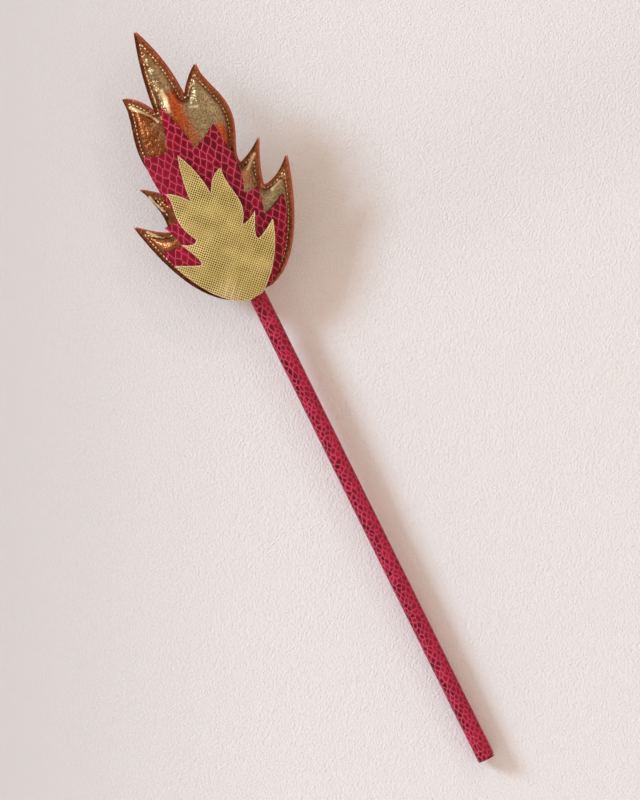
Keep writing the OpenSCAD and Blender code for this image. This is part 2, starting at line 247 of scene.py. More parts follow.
@dataclass(frozen=True)
class CopperFoilLeather:
    """Faux leather faced with copper foil: a soft mirror, khaki at the right, rust towards the left.

    Next to the red petal a reflection of its red is painted on the foil. Along the seam it is
    browner, and its rim is painted dark on a tongue's left side, as shade, and coral on its right.
    """

    name: str = "copper_foil_leather"
    khaki: str = "A78E66"
    rust: str = "935027"
    bright: str = "B97447"
    dull: str = "BEB8B2"
    shine: str = "E2C392"
    painted_reflection: str = "C85623"
    seam: str = "955631"
    left_edge_shade: str = "66341C"
    right_edge: str = "D07658"
    patch: float = 5.0  # mm across a patch of one colour
    stray: float = 30.0  # mm that a colour's border strays from patch to patch
    grain: float = 0.9  # mm
    dent: float = 3.2  # mm
    relief: float = 0.24  # mm

    def build(self) -> bpy.types.Material:
        """Builds the material on Object coordinates and the piece's own attributes.

        Returns:
            The material.
        """
        material, node = new_material(self.name)
        place = node("TexCoord", None, "Object")
        across, edge, edge_side, painted_red_reflection, painted_highlight = (
            node("Attribute", None, "Fac", attribute_name=name)
            for name in ("across_mm", "edge_mm", "edge_side", "painted_red_reflection", "painted_highlight")
        )
        patches = node("TexNoise", {"Vector": place, "Scale": 1 / (self.patch * MM), "Detail": 4.0})
        strayed = node("Math", {0: patches, 1: self.stray, 2: across}, operation="MULTIPLY_ADD")
        rightness = node("MapRange", {"Value": strayed, "From Min": 2.0, "From Max": 26.0}, **EASED)
        inward = node("Mix", {0: rightness, 6: self.rust, 7: self.khaki}, **COLOURS)
        off_left = node("MapRange", {"Value": strayed, "From Min": -20.0, "From Max": -6.0}, **EASED)
        middle = node("Mix", {0: off_left, 6: self.bright, 7: inward}, **COLOURS)
        # Painted reflection: beside the red petal the foil is painted with the petal's red.
        reflecting_red = node("Mix", {0: painted_red_reflection, 6: middle, 7: self.painted_reflection}, **COLOURS)
        ragged = node("Math", {0: patches, 1: 4.0, 2: edge}, operation="MULTIPLY_ADD")
        off_seam = node("MapRange", {"Value": ragged, "From Min": 4.2, "From Max": 7.5}, **EASED)
        foil = node("Mix", {0: off_seam, 6: self.seam, 7: reflecting_red}, **COLOURS)
        # Painted shade: the rim is painted dark on a tongue's left side, and coral on its right.
        on_right = node("MapRange", {"Value": edge_side, "From Min": -0.35, "From Max": 0.35}, **EASED)
        rim = node("Mix", {0: on_right, 6: self.left_edge_shade, 7: self.right_edge}, **COLOURS)
        rim_reach = node("Math", {0: edge_side, 1: 0.8, 2: ragged}, operation="MULTIPLY_ADD")
        off_rim = node("MapRange", {"Value": rim_reach, "From Min": 2.0, "From Max": 3.2}, **EASED)
        whole = node("Mix", {0: off_rim, 6: rim, 7: foil}, **COLOURS)
        fine = node("TexNoise", {"Vector": place, "Scale": 1 / (self.grain * MM), "Detail": 2.0})
        dullness = node("MapRange", {"Value": fine, "From Min": 0.66, "From Max": 0.34}, **EASED)
        grained = node("Mix", {0: dullness, 6: whole, 7: self.dull}, **COLOURS, blend_type="MULTIPLY")
        # Painted highlight: a pale shine is painted along the crests, broken up by the patches.
        broken = node("Math", {0: patches, 1: 0.9, 2: painted_highlight}, operation="MULTIPLY_ADD")
        shiny = node("MapRange", {"Value": broken, "From Min": 0.7, "From Max": 1.25}, **EASED)
        colour = node("Mix", {0: shiny, 6: grained, 7: self.shine}, **COLOURS)
        metal = node("MapRange", {"Value": shiny, "To Min": 0.9, "To Max": 0.35})
        dents = node("TexNoise", {"Vector": place, "Scale": 1 / (self.dent * MM), "Detail": 3.0})
        height = node("Math", {0: dents, 1: 4.0, 2: fine}, operation="MULTIPLY_ADD")
        bump = node("Bump", {"Height": height, "Distance": self.relief * MM, "Strength": 1.0})
        rough = node("MapRange", {"Value": patches, "To Min": 0.2, "To Max": 0.44})
        foiled = {"Base Color": colour, "Metallic": metal, "Roughness": rough, "Normal": bump}
        node("OutputMaterial", {0: node("BsdfPrincipled", foiled)})
        return material


@dataclass(frozen=True)
class DottedGoldLeather:
    """Pale gold faux leather pressed with a close square grid of dots, each a small dark pit."""

    name: str = "dotted_gold_leather"
    ground: str = "CEB368"
    bright: str = "F4D688"
    # The cream of the cut edge, and of the highlight painted on the pucker.
    painted_highlight: str = "F2DCB7"
    pit: str = "291C06"
    pitch: float = 1.15  # mm between dots, drawn a little coarser than real, so that they show
    turn: float = 45.0  # degrees that the rows are turned
    stray: float = 0.5  # mm that a row strays
    stray_l: float = 3.0  # mm from one such bend to the next
    pit_share: float = 0.35
    relief: float = 0.22  # mm
    blotch: float = 9.0  # mm across the patches of deep and shallow pits
    shimmer: float = 14.0  # mm across the foil's bright and dull patches

    def build(self) -> bpy.types.Material:
        """Builds the material on the piece's own UV map, which is in metres, and its attributes.

        Returns:
            The material.
        """
        material, node = new_material(self.name)
        place = node("TexCoord", None, "UV")
        bends = {"Vector": place, "Scale": 1 / (self.stray_l * MM), "Detail": 1.0}
        wander = node("TexNoise", bends, "Color")
        shift = node("VectorMath", {0: wander, "Scale": self.stray * MM}, operation="SCALE")
        rows = {
            "Vector": node("VectorMath", {0: place, 1: shift}, operation="ADD"),
            "Rotation": (0, 0, math.radians(self.turn)),
            "Scale": (1 / (self.pitch * MM), 1 / (self.pitch * MM), 1),
        }
        inside = node("VectorMath", {0: node("Mapping", rows)}, operation="FRACTION")
        offset = node("VectorMath", {0: inside, 1: (0.5, 0.5, 0.0)}, operation="SUBTRACT")
        from_dot = {
            "Value": node("VectorMath", {0: offset}, "Value", operation="LENGTH"),
            "From Min": self.pit_share * 0.8,
            "From Max": self.pit_share * 1.15,
            "To Min": 1.0,
            "To Max": 0.0,
        }
        pit = node("MapRange", from_dot, **EASED)
        blotch = node("TexNoise", {"Vector": place, "Scale": 1 / (self.blotch * MM), "Detail": 3.0})
        flecks = node("TexNoise", {"Vector": place, "Scale": 1 / (self.shimmer * MM), "Detail": 2.0})
        glint = node("MapRange", {"Value": flecks, "From Min": 0.2, "From Max": 0.8}, **EASED)
        foil = node("Mix", {0: glint, 6: self.ground, 7: self.bright}, **COLOURS)
        deep = {"Value": blotch, "From Min": 0.35, "From Max": 0.6, "To Min": 0.6, "To Max": 1.0}
        share = node("Math", {0: pit, 1: node("MapRange", deep)}, operation="MULTIPLY")
        dotted = node("Mix", {0: share, 6: foil, 7: self.pit}, **COLOURS)
        edge, crease_highlight = (
            node("Attribute", None, "Fac", attribute_name=name) for name in ("edge_mm", "painted_highlight")
        )
        worn = {"Value": edge, "From Min": 0.15, "From Max": 0.6, "To Min": 0.5, "To Max": 0.0}
        # Painted highlight: the pucker's folds are painted pale, as is the cream cut edge.
        pale = node("Math", {0: node("MapRange", worn), 1: crease_highlight}, operation="MAXIMUM")
        pits = {"Height": pit, "Distance": self.relief * MM, "Strength": 0.8}
        pressed = {
            "Base Color": node("Mix", {0: pale, 6: dotted, 7: self.painted_highlight}, **COLOURS),
            "Metallic": node("MapRange", {"Value": pit, "To Min": 0.85, "To Max": 0.95}),
            "Roughness": node("MapRange", {"Value": blotch, "To Min": 0.34, "To Max": 0.5}),
            "Normal": node("Bump", pits, invert=True),
        }
        node("OutputMaterial", {0: node("BsdfPrincipled", pressed)})
        return material


@dataclass(frozen=True)
class FibrousStuff:
    """Anything of short fibres, such as a cut leather edge, thread or sanded wood."""

    name: str
    light: str
    dark: str
    fibre: float  # mm across a fibre
    stretch: float = 1.0  # how much longer than wide a fibre is, along the wand
    roughness: float = 0.8
    sheen: float = 0.0
    relief: float = 0.05  # mm

    def build(self) -> bpy.types.Material:
        """Builds the material on Object coordinates.

        Returns:
            The material.
        """
        material, node = new_material(self.name)
        long_way = {"Vector": node("TexCoord", None, "Object"), "Scale": (1.0, 1.0, 1.0 / self.stretch)}
        place = node("Mapping", long_way)
        fibres = node("TexNoise", {"Vector": place, "Scale": 1 / (self.fibre * MM), "Detail": 3.0})
        fibrous = {
            "Base Color": node("Mix", {0: fibres, 6: self.dark, 7: self.light}, **COLOURS),
            "Roughness": self.roughness,
            "Sheen Weight": self.sheen,
            "Normal": node("Bump", {"Height": fibres, "Distance": self.relief * MM, "Strength": 0.8}),
        }
        node("OutputMaterial", {0: node("BsdfPrincipled", fibrous)})
        return material


@dataclass(frozen=True)
class LustreThread:
    """Polyester sewing thread with a metallic lustre, its plies twisted along each stitch."""

    name: str = "copper_lustre_thread"
    light: str = "F8D8AC"
    dark: str = "B87E4A"
    ply: float = 0.5  # mm between plies
    relief: float = 0.06  # mm

    def build(self) -> bpy.types.Material:
        """Builds the material on Object coordinates.

        Returns:
            The material.
        """
        material, node = new_material(self.name)
        place = node("TexCoord", None, "Object")
        twist = {"Vector": place, "Scale": 0.05 / (self.ply * MM), "Distortion": 1.5}
        plies = node("TexWave", twist, "Fac", bands_direction="DIAGONAL")
        lustrous = {
            "Base Color": node("Mix", {0: plies, 6: self.dark, 7: self.light}, **COLOURS),
            "Metallic": 0.3,
            "Roughness": 0.35,
            "Normal": node("Bump", {"Height": plies, "Distance": self.relief * MM, "Strength": 0.7}),
        }
        node("OutputMaterial", {0: node("BsdfPrincipled", lustrous)})
        return material


@dataclass(frozen=True)
class PaintedPlaster:
    """A painted plaster wall with a low roller stipple, and a floor as pale as the room.

    Towards the picture's left the wall is painted darker, as painted shade. Seen from behind, the wall
    lets the view through.
    """

    name: str = "painted_plaster"
    light: str = "E1DCDA"
    dark: str = "CBC6C4"
    dark_to: float = -260.0  # mm towards the picture's right
    light_from: float = -60.0  # mm
    floor_top: float = -800.0  # mm
    stipple: float = 1.1  # mm
    relief: float = 0.8  # mm

    def build(self) -> bpy.types.Material:
        """Builds the material on Object coordinates.

        Returns:
            The material.
        """
        material, node = new_material(self.name)
        place = node("TexCoord", None, "Object")
        stipple = node("TexNoise", {"Vector": place, "Scale": 1 / (self.stipple * MM), "Detail": 3.0})
        across = node("VectorMath", {0: place, 1: PICTURE_RIGHT}, "Value", operation="DOT_PRODUCT")
        span = {"Value": across, "From Min": self.dark_to * MM, "From Max": self.light_from * MM}
        # Painted shade: the wall is painted darker towards the picture's left.
        lightness = node("MapRange", span, **EASED)
        depth = node("MapRange", {"Value": lightness, "To Min": 0.05, "To Max": 0.85})
        painted = {
            "Base Color": node("Mix", {0: lightness, 6: self.dark, 7: self.light}, **COLOURS),
            "Roughness": 0.9,
            "Normal": node("Bump", {"Height": stipple, "Distance": self.relief * MM, "Strength": depth}),
        }
        wall = node("BsdfPrincipled", painted)
        camera, shadow = (node("LightPath", None, f"Is {ray} Ray") for ray in ("Camera", "Shadow"))
        away = node("NewGeometry", None, "Backfacing")
        behind = node("Math", {0: away, 1: camera}, operation="MULTIPLY")
        open_to = node("Math", {0: behind, 1: shadow}, operation="MAXIMUM")
        hung = node("MixShader", {0: open_to, 1: wall, 2: node("BsdfTransparent")})
        height = node("SeparateXYZ", {0: place}, "Z")
        low = node("Math", {0: height, 1: self.floor_top * MM}, operation="LESS_THAN")
        seen_low = node("Math", {0: low, 1: seen_or_mirrored(node)}, operation="MULTIPLY")
        pale = node("Emission", {0: PALE_ROOM, 1: 1.0})
        node("OutputMaterial", {0: node("MixShader", {0: seen_low, 1: hung, 2: pale})})
        return material


# Flame outlines, in millimetres right of the stick's axis and above the flame's foot


def bezier(points: list[np.ndarray], share: float) -> np.ndarray:
    """Finds a point of a Bezier curve.

    Args:
        points: the curve's control points.
        share: how far along the curve, from 0 to 1.

    Returns:
        The point.
    """
    while len(points) > 1:
        points = [a + (b - a) * share for a, b in zip(points, points[1:])]
    return points[0]


@dataclass(frozen=True)
class Tongue:
    """One pointed tongue: its tip, and the control points of its sides from root to tip."""

    tip: Point
    left: tuple[Point, ...]
    right: tuple[Point, ...]


@dataclass(frozen=True)
class FlameOutline:
    """A flame of seven tongues between eight valleys, from the left foot round to the right foot."""

    valleys: tuple[Point, ...]
    tongues: tuple[Tongue, ...]
    tip_end: float = 0.985

    def side(self, index: int, share: float, right: bool) -> np.ndarray:
        """Finds a point on one side of a tongue.

        Args:
            index: the tongue's number from the left foot.
            share: how far from root to tip, from 0 to 1.
            right: whether it is the tongue's right side.

        Returns:
            The point, in millimetres.
        """
        tongue = self.tongues[index]
        line = (self.valleys[index + right], *(tongue.right if right else tongue.left), tongue.tip)
        return bezier([np.array(p) for p in line], share * self.tip_end)

    def tongue_point(self, index: int, along: float, across: float) -> Point:
        """Finds a point of a tongue.

        Args:
            index: the tongue's number from the left foot.
            along: how far from root to tip, from 0 to 1.
            across: how far from left to right, from 0 to 1.

        Returns:
            The point, in millimetres.
        """
        left, right = self.side(index, along, False), self.side(index, along, True)
        return tuple(left + (right - left) * across)

    def trunk_point(self, bay: int, up: float, across: float) -> Point:
        """Finds a point of a bay of the trunk, between a left tongue's root and a right one's.

        Args:
            bay: the bay's number from the foot.
            up: how far up the bay, from 0 to 1.
            across: how far from left to right, from 0 to 1.

        Returns:
            The point, in millimetres.
        """
        spots = [np.array(p) for p in self.valleys]
        left = spots[bay] + (spots[bay + 1] - spots[bay]) * up
        right = spots[7 - bay] + (spots[6 - bay] - spots[7 - bay]) * up
        return tuple(left + (right - left) * across)

    def cut_edge(self, samples: int = 48) -> np.ndarray:
        """Lists points along the cut edge from the left foot to the right foot.

        Args:
            samples: the points on each side of a tongue.

        Returns:
            The points, in millimetres, one a row.
        """
        shares = np.linspace(0, 1, samples)
        points = []
        for index in range(len(self.tongues)):
            points += [self.side(index, s, False) for s in shares]
            points += [self.side(index, s, True) for s in shares[::-1]]
        kept = [points[0]]
        kept += [p for q, p in zip(points, points[1:]) if np.hypot(*(p - q)) > 1e-6]
        return np.array(kept)

    def sheet(self, spacing: float) -> bmesh.types.BMesh:
        """Cuts the flame as a flat sheet of fine quads, with a UV map in metres.

        Args:
            spacing: the aimed-at size of a quad, in millimetres.

        Returns:
            The sheet in its XZ plane, in millimetres, facing front.
        """
        bm = bmesh.new()
        spots = [np.array(p) for p in self.valleys]
        roots = [max(6, round(np.hypot(*(b - a)) / spacing)) for a, b in zip(spots, spots[1:])]
        bays = [max(roots[i], roots[6 - i]) for i in range(3)]
        trunk_cols = max(roots[3], 26)
        for i, rows in enumerate(bays):
            self._patch(bm, rows, trunk_cols, lambda up, across, i=i: self.trunk_point(i, up, across))
        for i, tongue in enumerate(self.tongues):
            cols = trunk_cols if i == 3 else bays[min(i, 6 - i)]
            reach = np.hypot(*(np.array(tongue.tip) - (spots[i] + spots[i + 1]) / 2))
            rows = max(10, round(1.15 * reach / spacing))
            self._patch(bm, rows, cols, lambda along, across, i=i: self.tongue_point(i, along, across))
        bmesh.ops.remove_doubles(bm, verts=bm.verts, dist=1e-3)
        lay_flat(bm, lambda vert: vert.co.xz)
        return bm

    @staticmethod
    def _patch(bm: bmesh.types.BMesh, rows: int, cols: int, place: Place) -> None:
        """Adds one grid to a sheet.

        Args:
            bm: the sheet.
            rows: the quads from root to tip.
            cols: the quads from left to right.
            place: finds a vertex's point from its shares along and across.
        """
        made = bmesh.ops.create_grid(bm, x_segments=cols, y_segments=rows, size=1.0)
        for vert in made["verts"]:
            u, v = place((vert.co.y + 1) / 2, (vert.co.x + 1) / 2)
            vert.co = (u, 0.0, v)


FLAME = FlameOutline(
    valleys=(
        (-8.5, 1.8),
        (-27.0, 50.3),
        (-20.0, 68.0),
        (-6.0, 111.0),
        (11.6, 112.0),
        (22.6, 67.2),
        (28.3, 51.3),
        (8.5, 1.8),
    ),
    tongues=(
        Tongue((-43.0, 61.5), ((-28.0, 8.0), (-38.0, 36.0)), ((-33.0, 52.5),)),
        Tongue((-31.5, 78.0), ((-24.3, 64.0),), ((-23.0, 72.0),)),
        Tongue((-18.5, 125.0), ((-20.5, 82.0), (-31.0, 96.0), (-16.5, 108.0)), ((-10.7, 122.0),)),
        Tongue((3.0, 154.5), ((-4.3, 132.7),), ((12.0, 133.0),)),
        Tongue((24.5, 125.0), ((17.8, 121.0),), ((18.0, 78.0), (46.0, 94.0), (20.5, 110.0))),
        Tongue((37.5, 75.3), ((30.5, 69.5),), ((29.7, 60.7),)),
        Tongue((46.5, 60.5), ((36.6, 50.3),), ((28.5, 6.3), (40.5, 38.0))),
    ),
)

RED_FLAME = FlameOutline(
    valleys=(
        (-7.5, 2.3),
        (-24.0, 41.0),
        (-18.5, 55.0),
        (-9.0, 88.5),
        (4.7, 83.5),
        (17.5, 51.5),
        (22.0, 37.0),
        (7.0, 2.3),
    ),
    tongues=(
        Tongue((-35.0, 42.5), ((-22.8, 8.0), (-30.2, 27.0)), ((-29.0, 40.0),)),
        Tongue((-28.0, 53.5), ((-25.0, 48.0),), ((-22.0, 53.0),)),
        Tongue((-22.0, 92.0), ((-21.5, 64.0), (-23.5, 78.0)), ((-15.0, 88.5),)),
        Tongue((-2.3, 112.3), ((-6.0, 96.0),), ((3.3, 98.0),)),
        Tongue((19.5, 92.0), ((12.0, 86.7),), ((25.0, 66.0), (19.0, 80.0))),
        Tongue((26.0, 52.5), ((22.0, 49.8),), ((24.5, 44.0),)),
        Tongue((35.7, 42.5), ((29.5, 37.5),), ((21.0, 7.0), (34.0, 29.0))),
    ),
)

GOLD_FLAME = FlameOutline(
    valleys=(
        (-4.0, -0.8),
        (-18.7, 28.0),
        (-15.9, 39.8),
        (-9.5, 59.5),
        (1.8, 58.5),
        (9.3, 36.5),
        (13.7, 26.6),
        (3.0, 0.2),
    ),
    tongues=(
        Tongue((-32.0, 33.0), ((-17.6, 4.0), (-26.6, 18.4)), ((-18.9, 26.0), (-22.5, 28.3))),
        Tongue((-24.0, 41.3), ((-18.4, 30.3), (-20.8, 35.0)), ((-16.8, 37.9), (-19.8, 38.3))),
        Tongue(
            (-19.8, 69.0),
            ((-15.9, 42.5), (-21.5, 47.0), (-22.5, 57.0), (-16.5, 62.0)),
            ((-14.0, 66.4),),
        ),
        Tongue((-5.0, 84.5), ((-9.0, 72.0),), ((1.3, 71.5),)),
        Tongue((12.3, 68.5), ((6.5, 68.0),), ((18.5, 48.0), (10.0, 56.0))),
        Tongue((18.5, 40.5), ((14.0, 36.8),), ((12.0, 28.5), (15.0, 33.0))),
        Tongue((25.0, 32.5), ((15.5, 26.0),), ((14.0, 8.0), (21.5, 20.0))),
    ),
)


@dataclass(frozen=True)
class Crest:
    """A sharp fold of the front panel, with a pale highlight painted along it."""

    line: tuple[Point, ...]
    width: float  # mm
    shine: float = 1.0


CRESTS = (
    Crest(((-16.3, 119.0), (-11.5, 112.6), (-6.3, 105.0)), 0.8, 0.9),
    Crest(((2.4, 119.5), (2.6, 114.5), (1.2, 107.5)), 1.3, 0.75),
    Crest(((24.5, 61.5), (28.5, 65.6), (32.0, 68.0)), 0.8, 0.65),
    Crest(((31.5, 46.2), (37.5, 48.6)), 1.1, 0.7),
    Crest(((-37.5, 56.0), (-31.5, 48.6)), 0.8, 0.7),
    Crest(((-28.4, 72.0), (-24.8, 62.0)), 0.7, 0.7),
    Crest(((11.5, 105.0), (16.0, 103.4)), 0.8, 0.6),
    Crest(((-2.6, 115.0), (-0.6, 130.0)), 0.7, 0.55),
)

# Along this line a reflection of the red petal is painted on the foil.
PAINTED_RED_REFLECTION_LINE = ((6.0, 113.0), (4.4, 102.0), (6.6, 88.0))  # above the red petal, which it mirrors
FAR_OFF = 50.0  # mm from the red petal, past any painted reflection
CUT_ROUND = 0.16  # how much of a leather's thickness its cut edge is rounded by


def nearest_on_line(points: np.ndarray, line: np.ndarray) -> tuple[np.ndarray, np.ndarray]:
    """Measures points against a line of short pieces.

    Args:
        points: the points, one a row.
        line: the line's corners, one a row.

    Returns:
        Each point's distance to the line, and how far along the line its nearest place is.
    """
    best, run = np.full(len(points), np.inf), np.zeros(len(points))
    done = 0.0
    for start, step in zip(line[:-1], np.diff(line, axis=0)):
        length = float(np.hypot(*step))
        share = np.clip((points - start) @ step / length**2, 0, 1)
        gap = np.hypot(*(points - start - share[:, None] * step).T)
        near = gap < best
        best[near] = gap[near]
        run[near] = done + share[near] * length
        done += length
    return best, run


def inside_line(points: np.ndarray, line: np.ndarray) -> np.ndarray:
    """Tells which points lie inside a closed outline.

    Args:
        points: the points, one a row.
        line: the outline's corners, one a row.

    Returns:
        True for each point inside.
    """
    found = np.zeros(len(points), bool)
    for (x0, z0), (x1, z1) in zip(line, np.roll(line, -1, axis=0)):
        crosses = (z0 > points[:, 1]) != (z1 > points[:, 1])
        if crosses.any():
            meets = x0 + (points[:, 1] - z0) * (x1 - x0) / (z1 - z0)
            found ^= crosses & (points[:, 0] < meets)
    return found


def lay_flat(bm: bmesh.types.BMesh, flat: Callable[[bmesh.types.BMVert], Point]) -> None:
    """Gives a shape a UV map in metres.

    Args:
        bm: the shape.
        flat: finds a vertex's place on the flat sheet, in millimetres.
    """
    layer = bm.loops.layers.uv.new("flat")
    for face in bm.faces:
        for loop in face.loops:
            u, v = flat(loop.vert)
            loop[layer].uv = (u * MM, v * MM)


def mark(bm: bmesh.types.BMesh, marks: dict[str, np.ndarray]) -> None:
    """Writes measures on a sheet's vertices, for its finish to read.

    Args:
        bm: the sheet.
        marks: a value for each vertex, under the attribute's name.
    """
    for name, values in marks.items():
        layer = bm.verts.layers.float.new(name)
        for vert, value in zip(bm.verts, values):
            vert[layer] = value


def sheet_points(bm: bmesh.types.BMesh) -> np.ndarray:
    """Lists a flat sheet's vertices as right-of-axis and above-foot, in millimetres."""
    return np.array([(v.co.x, v.co.z) for v in bm.verts])


def finish_piece(
    bm: bmesh.types.BMesh, name: str, finishes: list[bpy.types.Material], body: Body
) -> bpy.types.Object:
    """Makes an object from a bmesh in metres, dresses it and sets it on its body.

    Args:
        bm: the shape, which is freed.
        name: the piece's name.
        finishes: the materials of its slots.
        body: the body that it rides on.

    Returns:
        The new object.
    """
    mesh = bpy.data.meshes.new(name)
    bm.to_mesh(mesh)
    bm.free()
    mesh.polygons.foreach_set("use_smooth", [True] * len(mesh.polygons))
    for finish in finishes:
        mesh.materials.append(finish)
    piece = bpy.data.objects.new(name, mesh)
    bpy.context.scene.collection.objects.link(piece)
    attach(piece, body.value)
    LOG.info("%s: %d faces on %s", name, len(mesh.polygons), body.value)
    return piece


def give_thickness(piece: bpy.types.Object, thickness: float) -> None:
    """Makes a sheet smooth and as thick as its leather, with a rounded cut edge.

    Args:
        piece: the sheet, whose own faces become the inner side.
        thickness: the leather's thickness, in millimetres.
    """
    smooth = piece.modifiers.new("smooth", "SUBSURF")
    smooth.levels = smooth.render_levels = 1
    smooth.boundary_smooth = "PRESERVE_CORNERS"
    wall = piece.modifiers.new("leather", "SOLIDIFY")
    wall.thickness = thickness * MM
    wall.offset = 1.0
    wall.material_offset = 2
    wall.material_offset_rim = 1
    edge = piece.modifiers.new("cut_edge", "BEVEL")
    edge.width = CUT_ROUND * thickness * MM
    edge.segments = 2
    edge.limit_method = "ANGLE"
    edge.angle_limit = math.radians(55)


# The wand's sub-assemblies


@dataclass
class PetalCup:
    """The cupped face that both petal layers follow, as a depth in front of the stick's axis.

    Its sizes are in millimetres. The cup widens above the foot, then narrows and leans back.
    """

    neck: float = 7.55
    middle: float = 10.95
    rim: float = 2.8
    rise: float = 9.0
    foot_w: float = 12.0
    wide_w: float = 40.0
    widen_over: float = 20.0
    narrow_from: float = 40.0
    narrow_rate: float = 0.18
    power: float = 2.5
    lean_from: float = 60.0
    lean_rate: float = 0.045

    def depth(self, points: np.ndarray) -> np.ndarray:
        """Finds the depth of the red layer's inner face.

        Args:
            points: places right of the axis and above the foot, in millimetres.

        Returns:
            The depths, in millimetres.
        """
        across, up = points[:, 0], np.maximum(points[:, 1], 0)
        middle = self.neck + (self.middle - self.neck) * (1 - np.exp(-up / self.rise))
        middle -= self.lean_rate * np.maximum(0, up - self.lean_from)
        width = self.foot_w + (self.wide_w - self.foot_w) * (1 - np.exp(-up / self.widen_over))
        width -= self.narrow_rate * np.maximum(0, up - self.narrow_from)
        return middle - (middle - self.rim) * (np.abs(across) / width) ** self.power


def eased(share: np.ndarray) -> np.ndarray:
    """Eases shares from 0 to 1, flat at both ends."""
    share = np.clip(share, 0, 1)
    return share * share * (3 - 2 * share)


@dataclass
class Stuffing:
    """The rise of a panel over its wadding: a membrane pushed up evenly and held down at the seam."""

    edge: np.ndarray
    seam_in: float  # mm
    crown: float = 9.0  # mm that the widest membrane would reach
    half_way: float = 40.0  # the push at which the rise starts to level off
    fullness: float = 0.7  # the lower, the steeper the flanks
    rounds: int = 2500
    corner: np.ndarray = field(init=False)
    swell: np.ndarray = field(init=False)

    def __post_init__(self) -> None:
        """Relaxes the membrane on a grid of one millimetre."""
        self.corner = np.floor(self.edge.min(axis=0)) - 2
        cols, rows = (np.ceil(self.edge.max(axis=0)) + 3 - self.corner).astype(int)
        u, v = np.meshgrid(np.arange(cols), np.arange(rows), indexing="ij")
        spots = np.stack([u.ravel(), v.ravel()], axis=1) + self.corner
        gap, _ = nearest_on_line(spots, self.edge)
        free = (inside_line(spots, self.edge) & (gap > self.seam_in)).reshape(cols, rows)
        pushed = np.zeros((cols, rows))
        for _ in range(self.rounds):
            around = sum(np.roll(pushed, step, axis=axis) for step in (1, -1) for axis in (0, 1))
            pushed = np.where(free, (around + 1) / 4, 0.0)
        self.swell = self.crown * (pushed / (pushed + self.half_way)) ** self.fullness

    def rise(self, points: np.ndarray) -> np.ndarray:
        """Reads the rise off the grid.

        Args:
            points: places right of the axis and above the foot, in millimetres.

        Returns:
            The heights, in millimetres.
        """
        place = points - self.corner
        cell = np.clip(np.floor(place).astype(int), 0, np.array(self.swell.shape) - 2)
        (i, j), (a, b) = cell.T, (place - cell).T
        low = self.swell[i, j] * (1 - a) + self.swell[i + 1, j] * a
        high = self.swell[i, j + 1] * (1 - a) + self.swell[i + 1, j + 1] * a
        return low * (1 - b) + high * b


